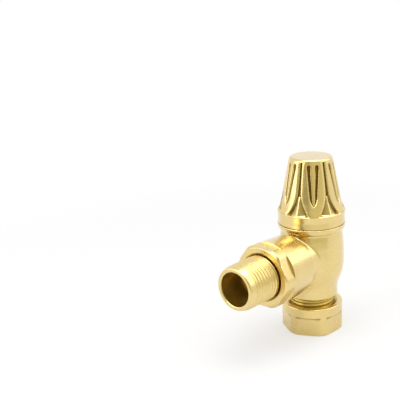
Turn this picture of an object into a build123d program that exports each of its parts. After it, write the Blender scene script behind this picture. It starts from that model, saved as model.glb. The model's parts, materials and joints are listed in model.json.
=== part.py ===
from build123d import *
import os
from math import cos, radians, sin, sqrt

# Angled lockshield radiator valve: 15 mm compression inlet, G1/2 radiator tail.
# Millimetres, +Z up.  The origin is the centre of the compression nut's lower
# face, where the pipe enters.  The spindle stands along +Z and the radiator
# tail points along -Y.  Threads are plain cylinders at their major radius.
# The sizes that can be set come first, in capitals.  The places worked out
# from them follow in small letters: heights are from the origin, and places
# along the tail are distances from the spindle's axis.

# --- standard threads and pipe -------------------------------------------
G12_MAJOR_R = 20.955 / 2     # G1/2: compression joint and radiator tail
G34_MAJOR_R = 26.441 / 2     # G3/4: union between the body and the tail
THREAD_GAP = 0.07            # radial gap between a male and a female thread
RUN_OUT_W = 1.2              # groove where a thread runs out
THREAD_DEPTH = 0.9           # depth of that groove, and of a thread's end chamfer
PIPE_R = 15.0 / 2            # copper pipe that the inlet takes
PIPE_CLEARANCE = 0.1         # radial, pipe in its socket

# --- small clearances and edges --------------------------------------------
RUN_GAP = 0.06               # radial, a shaft or a ring in its bore
FACE_GAP = 0.1               # axial, between faces that turn on each other
SOFT_GAP = 0.3               # between a seal and the seat that it closes on
PRESS_GAP = 0.02             # radial, parts pressed together in assembly
EDGE = 0.3                   # broken edges
SEAL_ROUNDING = 0.3          # an O-ring's corner radius, as a share of its section

# --- compression nut and olive ----------------------------------------------
COMP_NUT_H = 14.0
COMP_NUT_WALL = 4.27         # blank outside the thread
COMP_NUT_FLAT = 1.3          # depth of the milled flats in the blank
COMP_HEX_H = 9.5             # milled flats, from the lower face up
COMP_HEX_TURN = 27.8         # degrees from +X to a corner
COMP_CHAMFER_H = 0.5         # chamfer at the lower end of the flats, along the axis
COMP_CHAMFER_W = 0.6         # the same, across it
COMP_NUT_FLOOR = 3.0         # under the olive
COMP_CONE_H = 1.6            # cone that squeezes the olive
COMP_CONE_GAP = 0.6          # radial, mouth of that cone outside the olive
COMP_HOLE_GAP = 0.1          # radial, pipe hole in the nut over the socket's
COMP_LEAD_W = 1.95           # wide lead-in at the top of the nut
COMP_LEAD_H = 2.5
NUT_CHAMFER_H = 0.9          # chamfer at a nut's end, along its axis
NUT_CHAMFER_W = 1.3          # the same, across it
OLIVE_CLEARANCE = 0.12       # radial, pipe in the olive
OLIVE_WALL = 0.98
OLIVE_END_WALL = 0.33
OLIVE_L = 5.9
OLIVE_TAPER = 1.7
OLIVE_LIFT = 0.55            # lower end of the olive above the nut's floor

# --- valve body ----------------------------------------------------------
INLET_END_Z = 8.0            # lower end of the body's inlet thread
INLET_CONE_H = 2.4           # cone in the mouth that receives the olive
INLET_CONE_W = 1.5
SOCKET_L = 15.0              # pipe socket, from the mouth to its stop
INLET_THREAD_L = 9.9         # inlet thread, up to the casting
NECK_WALL = 2.02             # casting above the inlet thread, outside that thread
TAIL_AXIS_RISE = 19.5        # tail's axis above the casting's lower edge
NECK_SWEEP_R = 12.0          # hollow sweep from the neck to the barrel
BARREL_WALL = 5.0            # barrel outside the chamber
BARREL_SWEEP_R = 34.0        # full sweep into the barrel
BARREL_RISE = 12.2           # barrel's upper edge above the tail's axis
THROAT_W = 0.5               # turned band under the bead, inside the barrel
THROAT_H = 1.3
BEAD_H = 3.3                 # rounded bead that the cap stands on
BEAD_W = 0.75                # its widest, outside the barrel
BEAD_MID_W = 0.43            # on its rounding
BEAD_MID_H = 1.5
SPIGOT_WALL = 1.5            # plain spigot that the cap grips, outside the bonnet
SPIGOT_H = 3.8
WATERWAY_R = 6.0             # bore under the seat
SEAT_DROP = 6.4              # seat under the tail's axis
SEAT_LIP_H = 1.0
SEAT_LIP_W = 1.2
CHAMBER_R = 10.5
BONNET_THREAD_L = 8.5        # thread for the bonnet, from the spigot's top
BOSS_R = 12.0                # side boss for the union
BOSS_REACH = 2.1             # boss past the barrel
UNION_THREAD_L = 14.4        # body's union thread
OUTLET_R = 7.0               # outlet bore
TAIL_SEAT_R = 9.0            # counterbore for the nose of the tail
TAIL_SEAT_L = 4.5

# --- radiator tail and union nut ---------------------------------------------
FLANGE_R = 12.0
FLANGE_W = 3.0
NOSE_GAP = 0.1               # radial, nose of the tail in the body
NOSE_L = 4.3
NOSE_GROOVE_DEPTH = 1.3      # groove of the nose's O-ring
NOSE_GROOVE_W = 1.8
NOSE_GROOVE_LAND = 1.2       # from the end of the nose to the groove
TAIL_SHANK_L = 3.7           # plain shank from the flange to the thread
TAIL_SHANK_CUT = 0.28        # shank under the thread's crests
TAIL_THREAD_L = 15.0
TAIL_LEAD_L = 2.9            # tapered lead at the end of the tail
TAIL_LEAD_CUT = 0.82
TAIL_BORE_R = 7.86
TAIL_WATERWAY_R = 6.3
TAIL_KEY_AF = 13.0           # hexagon socket for the fitting key, across flats
TAIL_KEY_L = 7.0
TAIL_KEY_DEPTH = 15.0        # from the tail's end to the socket
UNION_NUT_GAP = 0.4          # from the boss to the nut's rear rim
UNION_NUT_FRONT_L = 3.1      # front wall of the nut, outside the flange
UNION_NUT_WALL = 1.78        # blank outside the thread
UNION_NUT_FLAT = 1.15        # depth of the milled flats in the blank
UNION_HEX_L = 5.8            # milled flats, from the front face back
UNION_HEX_TURN = -3.8        # degrees from +X up to a corner
UNION_NUT_TAPER_L = 4.0      # taper of the collar to the rear rim
UNION_NUT_TAPER_W = 0.5
UNION_HOLE_GAP = 0.52        # radial, tail's thread in the nut's hole
UNION_HOLE_EDGE = 0.65       # chamfer around that hole
UNION_CAVITY_GAP = 0.3       # radial, flange in the nut

# --- headwork ------------------------------------------------------------
BONNET_THREAD_R = 11.0
BONNET_WASHER_T = 0.8
BONNET_FLANGE_CUT = 0.1      # flange under the spigot's radius
BONNET_FLANGE_H = 1.6
BONNET_HEX_AF = 19.0         # across flats
BONNET_HEX_CUT = 0.37        # turned off the hexagon's corners
BONNET_HEX_H = 4.6
BONNET_NECK_WALL = 1.5       # neck for the gland nut, outside the packing
BONNET_NECK_H = 6.0
STUFFING_DEPTH = 4.0         # packing chamber, from the bonnet's top
PACKING_WALL = 1.5
PACKING_H = 3.0
FOLLOWER_H = 2.0
STEM_GROOVE_H = 1.8          # groove for the spindle's O-ring
STEM_GROOVE_DROP = 1.4       # from the packing chamber's floor to the groove
GLAND_NUT_WALL = 0.93        # at the flats, outside the thread
GLAND_NUT_CUT = 0.36         # turned off the hexagon's corners
GLAND_NUT_LIFT = 1.0         # nut above the bonnet's hexagon
GLAND_NUT_ROOF = 2.9
GLAND_HOLE_GAP = 0.6         # radial, spindle in the gland nut

# --- spindle and valve disc ------------------------------------------------
SPINDLE_R = 3.5
SPINDLE_STAND = 4.3          # spindle above the gland nut
SQUARE_AF = 5.0              # square for the adjusting key, across flats
SQUARE_L = 4.0
SPINDLE_THREAD_W = 2.5       # lifting thread outside the shank
SPINDLE_THREAD_L = 7.8
SPINDLE_LIFT = 4.5           # from closed to fully open
SPINDLE_STOP_GAP = 0.6       # thread's stop in the bonnet, when fully open
SPINDLE_LOWER_W = 1.0        # lower shank outside the upper one
SWIVEL_R = 3.0               # swivel pin in the disc
SWIVEL_L = 4.9
SWIVEL_FLOOR_GAP = 0.2       # under the pin
SWIVEL_GROOVE_DEPTH = 0.7
SWIVEL_GROOVE_RISE = 1.0
SWIVEL_GROOVE_H = 0.8
CLIP_W = 0.8                 # retaining clip outside the pin
CLIP_GAP = 0.1
CLIP_MOUTH = 50.0            # degrees left open in the clip
DISC_OVERLAP = 3.0           # disc outside the waterway
DISC_SKIRT_W = 0.74
DISC_SKIRT_H = 1.3
DISC_PLATE_H = 2.3
DISC_BOSS_WALL = 1.94
DISC_BOSS_H = 5.4
DISC_WEB = 0.8               # between the screw's hole and the swivel's
WASHER_T = 2.0
SCREW_R = 2.0
SCREW_HEAD_W = 1.6
SCREW_HEAD_H = 1.4
SCREW_GRIP = 2.0             # screw in the disc
SCREW_SLOT_W = 1.0
SCREW_SLOT_DEPTH = 0.7

# --- lockshield cap ------------------------------------------------------
CAP_STAND = 0.3              # cap's edge above the bead
CAP_SKIRT_WALL = 1.68        # band, outside the insert
CAP_BAND_H = 5.8             # plain band under the petals
CAP_BAND_HOLLOW = 0.25       # the band is slightly hollow
CAP_TIP_W = 0.1              # petal tips outside the band
CAP_FLARE_H = 5.9            # flare of the petals up to the straight taper
CAP_FLARE_W = 2.1
CAP_FLARE_MID_H = 3.0        # a point on the flare
CAP_FLARE_MID_W = 1.2
CAP_TAPER_H = 18.2           # straight taper
CAP_TAPER_W = 3.55
CAP_ROUND_H = 1.9            # rounding up to the flat top
CAP_ROUND_W = 1.05
CAP_ROUND_MID_H = 1.37       # a point on the rounding
CAP_ROUND_MID_W = 0.29
CAP_WALL = 2.8               # from the envelope to the cavity
CAP_ROOF = 2.0
CAP_SHOULDER_DROP = 0.3      # insert's seat under the petal tips
GRIP_RING_W = 1.3            # ring on the spigot
INSERT_WALL = 0.5            # insert outside the ring
INSERT_GAP = 0.1             # radial, insert over the spigot
GRIP_GROOVE_RISE = 1.5       # ring's groove above the bead
GRIP_GROOVE_H = 1.8
PETALS = 6
PETAL_TURN = 11.0            # degrees from +X to the first petal
FLUTE_R = 0.8                # radius of a flute's cutter
FLUTE_TOP_SPREAD = 9.5       # degrees from a petal's middle to its flutes, at the top
FLUTE_FOOT_SPREAD = 3.0      # the same at their lower ends
FLUTE_TOP_DROP = 2.4         # flute's upper end under the rim
FLUTE_FOOT_RISE = 3.2        # flute's lower end above the petal tips
GAP_TOP_DROP = 1.4           # the same for the gaps between petals
GAP_FOOT_RISE = 1.2

# --- places on the inlet --------------------------------------------------
pipe_socket_r = PIPE_R + PIPE_CLEARANCE
comp_hole_r = pipe_socket_r + COMP_HOLE_GAP
olive_bore_r = PIPE_R + OLIVE_CLEARANCE
olive_r = olive_bore_r + OLIVE_WALL
olive_end_r = olive_bore_r + OLIVE_END_WALL
comp_nut_r = G12_MAJOR_R + COMP_NUT_WALL
comp_cone_r = olive_r + COMP_CONE_GAP
comp_cone_top_z = COMP_NUT_FLOOR + COMP_CONE_H
body_lower_z = INLET_END_Z + INLET_THREAD_L
tail_axis_z = body_lower_z + TAIL_AXIS_RISE
neck_r = G12_MAJOR_R + NECK_WALL
barrel_r = CHAMBER_R + BARREL_WALL
throat_r = barrel_r - THROAT_W
bead_r = barrel_r + BEAD_W

# --- places up the spindle -------------------------------------------------
seat_z = tail_axis_z - SEAT_DROP
seat_floor_z = seat_z - SEAT_LIP_H
barrel_top_z = tail_axis_z + BARREL_RISE
throat_top_z = barrel_top_z + THROAT_H
bead_top_z = throat_top_z + BEAD_H
spigot_r = BONNET_THREAD_R + SPIGOT_WALL
spigot_top_z = bead_top_z + SPIGOT_H
chamber_top_z = spigot_top_z - BONNET_THREAD_L
bonnet_bottom_z = chamber_top_z + FACE_GAP
bonnet_flange_r = spigot_r - BONNET_FLANGE_CUT
flange_z = spigot_top_z + BONNET_WASHER_T
bonnet_hex_z = flange_z + BONNET_FLANGE_H
bonnet_neck_z = bonnet_hex_z + BONNET_HEX_H
bonnet_top_z = bonnet_neck_z + BONNET_NECK_H
stem_hole_r = SPINDLE_R + RUN_GAP
stuffing_r = SPINDLE_R + PACKING_WALL
stuffing_z = bonnet_top_z - STUFFING_DEPTH
stem_groove_top_z = stuffing_z - STEM_GROOVE_DROP
stem_groove_z = stem_groove_top_z - STEM_GROOVE_H
bonnet_neck_r = stuffing_r + BONNET_NECK_WALL
follower_z = stuffing_z + PACKING_H
follower_top_z = follower_z + FOLLOWER_H
gland_face_z = follower_top_z + FACE_GAP
gland_nut_z = bonnet_neck_z + GLAND_NUT_LIFT
gland_nut_top_z = gland_face_z + GLAND_NUT_ROOF
spindle_top_z = gland_nut_top_z + SPINDLE_STAND
spindle_thread_r = SPINDLE_R + SPINDLE_THREAD_W
spindle_thread_top_z = bonnet_bottom_z + SPINDLE_THREAD_L
spindle_stop_z = spindle_thread_top_z + SPINDLE_LIFT + SPINDLE_STOP_GAP
washer_z = seat_z + SOFT_GAP
disc_z = washer_z + WASHER_T
disc_r = WATERWAY_R + DISC_OVERLAP
disc_skirt_r = disc_r - DISC_SKIRT_W
disc_plate_top_z = disc_z + DISC_PLATE_H
disc_boss_r = SWIVEL_R + RUN_GAP + DISC_BOSS_WALL
disc_boss_top_z = disc_plate_top_z + DISC_BOSS_H
screw_hole_top_z = disc_z + SCREW_GRIP + FACE_GAP
swivel_floor_z = screw_hole_top_z + DISC_WEB
swivel_z = swivel_floor_z + SWIVEL_FLOOR_GAP
swivel_top_z = swivel_z + SWIVEL_L
swivel_groove_r = SWIVEL_R - SWIVEL_GROOVE_DEPTH
swivel_groove_z = swivel_z + SWIVEL_GROOVE_RISE
swivel_groove_top_z = swivel_groove_z + SWIVEL_GROOVE_H
clip_r = SWIVEL_R + CLIP_W

# --- places along the tail ---------------------------------------------------
boss_end = barrel_r + BOSS_REACH
union_end = boss_end + UNION_THREAD_L
flange_start = union_end + SOFT_GAP
flange_end = flange_start + FLANGE_W
nose_r = TAIL_SEAT_R - NOSE_GAP
nose_start = flange_start - NOSE_L
nose_groove_start = nose_start + NOSE_GROOVE_LAND
nose_groove_end = nose_groove_start + NOSE_GROOVE_W
nose_groove_r = nose_r - NOSE_GROOVE_DEPTH
tail_thread_start = flange_end + TAIL_SHANK_L
tail_thread_end = tail_thread_start + TAIL_THREAD_L
tail_end = tail_thread_end + TAIL_LEAD_L
tail_key_end = tail_end - TAIL_KEY_DEPTH
union_nut_r = G34_MAJOR_R + UNION_NUT_WALL
union_nut_rear = boss_end + UNION_NUT_GAP
union_shoulder = flange_end + FACE_GAP
union_nut_front = union_shoulder + UNION_NUT_FRONT_L
union_hex_start = union_nut_front - UNION_HEX_L
tail_place = Pos(0, 0, tail_axis_z) * Rot(90, 0, 0)

# --- places on the cap ---------------------------------------------------
grip_groove_r = spigot_r + GRIP_RING_W
grip_groove_z = bead_top_z + GRIP_GROOVE_RISE
grip_groove_top_z = grip_groove_z + GRIP_GROOVE_H
insert_bore_r = spigot_r + INSERT_GAP
insert_r = grip_groove_r + INSERT_WALL
insert_z = bead_top_z + FACE_GAP
cap_z = bead_top_z + CAP_STAND
cap_band_r = insert_r + PRESS_GAP + CAP_SKIRT_WALL
cap_tip_z = cap_z + CAP_BAND_H
cap_tip_r = cap_band_r + CAP_TIP_W
cap_shoulder_z = cap_tip_z - CAP_SHOULDER_DROP
cap_waist_z = cap_tip_z + CAP_FLARE_H
cap_waist_r = cap_tip_r - CAP_FLARE_W
cap_rim_z = cap_waist_z + CAP_TAPER_H
cap_rim_r = cap_waist_r - CAP_TAPER_W
cap_top_z = cap_rim_z + CAP_ROUND_H


def turned(*outline):
    """Solid of revolution about Z from a closed outline of (radius, height)."""
    return revolve(Plane.XZ * make_face(Polyline(*outline, close=True)), Axis.Z)


def cylinder(radius, low, high):
    """Plain cylinder on Z between two heights."""
    return Pos(0, 0, low) * extrude(Circle(radius), high - low)


def ring(inner_r, outer_r, low, high):
    """Plain ring on Z between two heights."""
    return cylinder(outer_r, low, high) - cylinder(inner_r, low, high)


def hexagon(across_flats, low, high, corner_angle=0.0):
    """Hexagonal prism on Z with one corner at corner_angle degrees from +X."""
    corner_r = across_flats / 2 / cos(radians(30))
    corners = [(corner_r * cos(radians(corner_angle + 60 * i)),
                corner_r * sin(radians(corner_angle + 60 * i))) for i in range(6)]
    return Pos(0, 0, low) * extrude(make_face(Polyline(*corners, close=True)), high - low)


def soft_ring(inner_r, outer_r, low, high):
    """O-ring as it sits in its groove: its section is rounded at the corners."""
    plain = ring(inner_r, outer_r, low, high)
    return fillet(plain.edges(), SEAL_ROUNDING * min(outer_r - inner_r, high - low))


def body_outline():
    """Face of the body's turned shape: inlet thread, swept barrel, throat, bead, spigot."""
    reach = BARREL_SWEEP_R + NECK_SWEEP_R
    across = reach - (barrel_r - neck_r)
    drop = sqrt(reach ** 2 - across ** 2)
    neck_top_z = tail_axis_z - drop
    share = BARREL_SWEEP_R / reach
    meet = (barrel_r - BARREL_SWEEP_R + across * share, tail_axis_z - drop * share)
    root_r = G12_MAJOR_R - THREAD_DEPTH
    lower = Polyline(
        (0, INLET_END_Z), (root_r, INLET_END_Z), (G12_MAJOR_R, INLET_END_Z + THREAD_DEPTH),
        (G12_MAJOR_R, body_lower_z - RUN_OUT_W), (root_r, body_lower_z - RUN_OUT_W),
        (root_r, body_lower_z), (neck_r - EDGE, body_lower_z),
        (neck_r, body_lower_z + EDGE), (neck_r, neck_top_z))
    hollow = RadiusArc((neck_r, neck_top_z), meet, -NECK_SWEEP_R)
    full = RadiusArc(meet, (barrel_r, tail_axis_z), BARREL_SWEEP_R)
    barrel = Polyline(
        (barrel_r, tail_axis_z), (barrel_r, barrel_top_z - EDGE), (barrel_r - EDGE, barrel_top_z),
        (throat_r, barrel_top_z), (throat_r, throat_top_z))
    bead = ThreePointArc(
        (throat_r, throat_top_z), (barrel_r + BEAD_MID_W, throat_top_z + BEAD_MID_H),
        (bead_r, bead_top_z - EDGE))
    top = Polyline(
        (bead_r, bead_top_z - EDGE), (bead_r - EDGE, bead_top_z), (spigot_r, bead_top_z),
        (spigot_r, spigot_top_z - EDGE), (spigot_r - EDGE, spigot_top_z),
        (0, spigot_top_z), (0, INLET_END_Z))
    return make_face([lower, hollow, full, barrel, bead, top])


def valve_body():
    """One-piece brass body: inlet below, seat and chamber, headwork thread, outlet."""
    barrel = revolve(Plane.XZ * body_outline(), Axis.Z)
    root_r = G34_MAJOR_R - THREAD_DEPTH
    union = turned(
        (0, 0), (BOSS_R, 0), (BOSS_R, boss_end), (root_r, boss_end),
        (root_r, boss_end + RUN_OUT_W), (G34_MAJOR_R, boss_end + RUN_OUT_W),
        (G34_MAJOR_R, union_end - THREAD_DEPTH), (root_r, union_end), (0, union_end))
    socket_end_z = INLET_END_Z + SOCKET_L
    inlet = turned(
        (0, INLET_END_Z), (pipe_socket_r + INLET_CONE_W, INLET_END_Z),
        (pipe_socket_r, INLET_END_Z + INLET_CONE_H), (pipe_socket_r, socket_end_z),
        (WATERWAY_R, socket_end_z), (WATERWAY_R, seat_z), (0, seat_z))
    lip_r = WATERWAY_R + SEAT_LIP_W
    chamber = turned(
        (0, seat_z), (lip_r, seat_z), (lip_r, seat_floor_z), (CHAMBER_R, seat_floor_z),
        (CHAMBER_R, chamber_top_z), (BONNET_THREAD_R, chamber_top_z),
        (BONNET_THREAD_R, spigot_top_z), (0, spigot_top_z))
    outlet = tail_place * (
        cylinder(OUTLET_R, 0, union_end) + cylinder(TAIL_SEAT_R, union_end - TAIL_SEAT_L, union_end))
    outlet -= cylinder(barrel_r, INLET_END_Z, seat_floor_z) + cylinder(lip_r, INLET_END_Z, seat_z)
    return barrel + tail_place * union - inlet - chamber - outlet


def compression_nut():
    """Nut that squeezes the olive onto the pipe: milled hexagon under a turned collar."""
    flats = hexagon(2 * (comp_nut_r - COMP_NUT_FLAT), 0, COMP_HEX_H, COMP_HEX_TURN)
    blank = turned(
        (0, 0), (comp_nut_r - COMP_CHAMFER_W, 0), (comp_nut_r, COMP_CHAMFER_H),
        (comp_nut_r, COMP_NUT_H - EDGE), (comp_nut_r - EDGE, COMP_NUT_H), (0, COMP_NUT_H))
    collar = cylinder(comp_nut_r, COMP_HEX_H, COMP_NUT_H)
    thread_r = G12_MAJOR_R + THREAD_GAP
    bore = turned(
        (0, 0), (comp_hole_r, 0), (comp_hole_r, COMP_NUT_FLOOR), (comp_cone_r, comp_cone_top_z),
        (comp_cone_r, comp_cone_top_z + EDGE), (thread_r, comp_cone_top_z + EDGE),
        (thread_r, COMP_NUT_H - COMP_LEAD_H), (thread_r + COMP_LEAD_W, COMP_NUT_H),
        (0, COMP_NUT_H))
    return (blank & flats) + (blank & collar) - bore


def olive():
    """Soft brass ring, tapered at both ends, that grips the pipe."""
    low = COMP_NUT_FLOOR + OLIVE_LIFT
    high = low + OLIVE_L
    return turned(
        (olive_bore_r, low), (olive_end_r, low), (olive_r, low + OLIVE_TAPER),
        (olive_r, high - OLIVE_TAPER), (olive_end_r, high), (olive_bore_r, high))


def union_tail():
    """Radiator tail: sealing nose, flange, taper-ended G1/2 thread and key socket."""
    shank_r = G12_MAJOR_R - TAIL_SHANK_CUT
    end_r = G12_MAJOR_R - TAIL_LEAD_CUT
    shape = turned(
        (TAIL_WATERWAY_R, nose_start), (nose_r - EDGE, nose_start), (nose_r, nose_start + EDGE),
        (nose_r, nose_groove_start), (nose_groove_r, nose_groove_start),
        (nose_groove_r, nose_groove_end), (nose_r, nose_groove_end), (nose_r, flange_start),
        (FLANGE_R, flange_start), (FLANGE_R, flange_end), (shank_r, flange_end),
        (shank_r, tail_thread_start - EDGE), (G12_MAJOR_R, tail_thread_start),
        (G12_MAJOR_R, tail_thread_end), (end_r, tail_end - EDGE), (end_r - EDGE, tail_end),
        (TAIL_BORE_R, tail_end), (TAIL_BORE_R, tail_key_end), (TAIL_WATERWAY_R, tail_key_end))
    return tail_place * (shape - hexagon(TAIL_KEY_AF, tail_key_end - TAIL_KEY_L, tail_key_end))


def tail_o_ring():
    """Rubber ring in the nose of the tail."""
    return tail_place * soft_ring(
        nose_groove_r + RUN_GAP, TAIL_SEAT_R - RUN_GAP,
        nose_groove_start + RUN_GAP, nose_groove_end - RUN_GAP)


def union_nut():
    """Captive nut of the union: round collar at the rear, hexagon at the front."""
    flats = hexagon(
        2 * (union_nut_r - UNION_NUT_FLAT), union_hex_start, union_nut_front, UNION_HEX_TURN)
    rear_r = union_nut_r - UNION_NUT_TAPER_W
    blank = turned(
        (0, union_nut_rear), (rear_r - EDGE, union_nut_rear), (rear_r, union_nut_rear + EDGE),
        (union_nut_r, union_nut_rear + UNION_NUT_TAPER_L),
        (union_nut_r, union_nut_front - NUT_CHAMFER_H),
        (union_nut_r - NUT_CHAMFER_W, union_nut_front), (0, union_nut_front))
    collar = cylinder(union_nut_r, union_nut_rear, union_hex_start)
    thread_r = G34_MAJOR_R + THREAD_GAP
    cavity_r = FLANGE_R + UNION_CAVITY_GAP
    hole_r = G12_MAJOR_R + UNION_HOLE_GAP
    thread_end = union_end + FACE_GAP
    bore = turned(
        (0, union_nut_rear), (thread_r + EDGE, union_nut_rear), (thread_r, union_nut_rear + EDGE),
        (thread_r, thread_end), (cavity_r, thread_end), (cavity_r, union_shoulder),
        (hole_r, union_shoulder), (hole_r, union_nut_front - UNION_HOLE_EDGE),
        (hole_r + UNION_HOLE_EDGE, union_nut_front), (0, union_nut_front))
    return tail_place * ((blank & flats) + (blank & collar) - bore)


def bonnet():
    """Headwork that screws into the body and carries the spindle."""
    thread_r = BONNET_THREAD_R - RUN_GAP
    corner_r = BONNET_HEX_AF / 2 / cos(radians(30)) - BONNET_HEX_CUT
    shape = turned(
        (0, bonnet_bottom_z), (thread_r, bonnet_bottom_z), (thread_r, flange_z),
        (bonnet_flange_r, flange_z), (bonnet_flange_r, bonnet_hex_z),
        (bonnet_neck_r, bonnet_hex_z), (bonnet_neck_r, bonnet_top_z), (0, bonnet_top_z))
    shape += (hexagon(BONNET_HEX_AF, bonnet_hex_z, bonnet_neck_z)
              & cylinder(corner_r, bonnet_hex_z, bonnet_neck_z))
    thread_hole_r = spindle_thread_r + RUN_GAP
    bore = turned(
        (0, bonnet_bottom_z), (thread_hole_r, bonnet_bottom_z), (thread_hole_r, spindle_stop_z),
        (stem_hole_r, spindle_stop_z), (stem_hole_r, stem_groove_z), (stuffing_r, stem_groove_z),
        (stuffing_r, stem_groove_top_z), (stem_hole_r, stem_groove_top_z),
        (stem_hole_r, stuffing_z), (stuffing_r, stuffing_z), (stuffing_r, bonnet_top_z),
        (0, bonnet_top_z))
    return shape - bore


def bonnet_washer():
    """Fibre washer between the bonnet's flange and the body's spigot."""
    return ring(BONNET_THREAD_R + RUN_GAP, bonnet_flange_r, spigot_top_z, flange_z)


def spindle_o_ring():
    """Rubber ring held in the bonnet around the spindle."""
    return soft_ring(stem_hole_r, stuffing_r - RUN_GAP,
                     stem_groove_z + RUN_GAP, stem_groove_top_z - RUN_GAP)


def gland_packing():
    """Packing ring in the stuffing box."""
    return ring(stem_hole_r, stuffing_r - RUN_GAP, stuffing_z, follower_z)


def gland_follower():
    """Brass ring that the gland nut presses on the packing."""
    return ring(stem_hole_r, stuffing_r - RUN_GAP, follower_z, follower_top_z)


def gland_nut():
    """Nut over the bonnet's neck that tightens the packing."""
    thread_r = bonnet_neck_r + THREAD_GAP
    across_flats = 2 * (thread_r + GLAND_NUT_WALL)
    corner_r = across_flats / 2 / cos(radians(30)) - GLAND_NUT_CUT
    outside = hexagon(across_flats, gland_nut_z, gland_nut_top_z) & turned(
        (0, gland_nut_z), (corner_r, gland_nut_z), (corner_r, gland_nut_top_z - NUT_CHAMFER_H),
        (corner_r - NUT_CHAMFER_W, gland_nut_top_z), (0, gland_nut_top_z))
    bore = cylinder(thread_r, gland_nut_z, gland_face_z)
    bore += cylinder(SPINDLE_R + GLAND_HOLE_GAP, gland_nut_z, gland_nut_top_z)
    return outside - bore


def spindle():
    """Spindle: square head, plain shank, lifting thread and swivel pin."""
    lower_r = SPINDLE_R + SPINDLE_LOWER_W
    shape = turned(
        (0, swivel_z), (SWIVEL_R - EDGE, swivel_z), (SWIVEL_R, swivel_z + EDGE),
        (SWIVEL_R, swivel_groove_z), (swivel_groove_r, swivel_groove_z),
        (swivel_groove_r, swivel_groove_top_z), (SWIVEL_R, swivel_groove_top_z),
        (SWIVEL_R, swivel_top_z), (lower_r, swivel_top_z), (lower_r, bonnet_bottom_z),
        (spindle_thread_r, bonnet_bottom_z), (spindle_thread_r, spindle_thread_top_z),
        (SPINDLE_R, spindle_thread_top_z), (SPINDLE_R, spindle_top_z - EDGE),
        (SPINDLE_R - EDGE, spindle_top_z), (0, spindle_top_z))
    square_z = spindle_top_z - SQUARE_L
    square = Pos(0, 0, square_z) * extrude(Rectangle(SQUARE_AF, SQUARE_AF), SQUARE_L)
    return shape - (cylinder(spindle_thread_r, square_z, spindle_top_z) - square)


def valve_disc():
    """Brass disc that holds the washer and hangs on the spindle's swivel pin."""
    shape = turned(
        (0, disc_z), (disc_skirt_r, disc_z), (disc_skirt_r, disc_z - DISC_SKIRT_H),
        (disc_r, disc_z - DISC_SKIRT_H), (disc_r, disc_plate_top_z - EDGE),
        (disc_r - EDGE, disc_plate_top_z), (disc_boss_r, disc_plate_top_z),
        (disc_boss_r, disc_boss_top_z), (0, disc_boss_top_z))
    socket = cylinder(SWIVEL_R + RUN_GAP, swivel_floor_z, disc_boss_top_z)
    socket += cylinder(clip_r + CLIP_GAP, swivel_groove_z - CLIP_GAP, swivel_groove_top_z + CLIP_GAP)
    return shape - socket - cylinder(SCREW_R, disc_z, screw_hole_top_z)


def disc_washer():
    """Rubber washer that closes on the seat."""
    return ring(SCREW_R + RUN_GAP, disc_skirt_r - RUN_GAP, washer_z, disc_z)


def disc_screw():
    """Slotted screw that holds the washer on the disc."""
    head_r = SCREW_R + SCREW_HEAD_W
    head_z = washer_z - SCREW_HEAD_H
    shape = cylinder(head_r, head_z, washer_z)
    shape += cylinder(SCREW_R - RUN_GAP, washer_z, disc_z + SCREW_GRIP)
    return shape - Pos(0, 0, head_z) * extrude(Rectangle(2 * head_r, SCREW_SLOT_W), SCREW_SLOT_DEPTH)


def swivel_clip():
    """Open spring ring that keeps the swivel pin in the disc."""
    low = swivel_groove_z + CLIP_GAP
    high = swivel_groove_top_z - CLIP_GAP
    reach = 2 * clip_r
    half = radians(CLIP_MOUTH / 2)
    mouth = make_face(Polyline(
        (0, 0), (reach * cos(half), reach * sin(half)), (reach * cos(half), -reach * sin(half)),
        close=True))
    clip = ring(swivel_groove_r + CLIP_GAP, clip_r, low, high)
    return clip - Pos(0, 0, low) * extrude(mouth, high - low)


def cap_envelope():
    """Outside of the cap before its flutes are cut, as a solid."""
    top_r = cap_rim_r - CAP_ROUND_W
    flat = Line((0, cap_top_z), (top_r, cap_top_z))
    rounding = ThreePointArc(
        (top_r, cap_top_z), (cap_rim_r - CAP_ROUND_MID_W, cap_rim_z + CAP_ROUND_MID_H),
        (cap_rim_r, cap_rim_z))
    taper = Line((cap_rim_r, cap_rim_z), (cap_waist_r, cap_waist_z))
    flare = ThreePointArc(
        (cap_waist_r, cap_waist_z), (cap_tip_r - CAP_FLARE_MID_W, cap_tip_z + CAP_FLARE_MID_H),
        (cap_tip_r, cap_tip_z))
    band_top_z = cap_tip_z - EDGE
    band_low_z = cap_z + EDGE
    step = Line((cap_tip_r, cap_tip_z), (cap_band_r, band_top_z))
    band = ThreePointArc(
        (cap_band_r, band_top_z), (cap_band_r - CAP_BAND_HOLLOW, (band_top_z + band_low_z) / 2),
        (cap_band_r, band_low_z))
    foot = Polyline((cap_band_r, band_low_z), (cap_band_r - EDGE, cap_z), (0, cap_z), (0, cap_top_z))
    return revolve(Plane.XZ * make_face([flat, rounding, taper, flare, step, band, foot]), Axis.Z)


def flute(top_angle, top_z, foot_angle, foot_z):
    """Round groove cutter that lies in the cap's taper, carried on below the waist."""
    slope = CAP_TAPER_W / CAP_TAPER_H
    ends = []
    for angle, z in ((top_angle, top_z), (foot_angle, foot_z)):
        r = cap_rim_r + slope * (cap_rim_z - z)
        ends.append(Vector(r * cos(radians(angle)), r * sin(radians(angle)), z))
    along = ends[1] - ends[0]
    return Plane(origin=ends[0], z_dir=along) * extrude(Circle(FLUTE_R), along.length)


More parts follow.
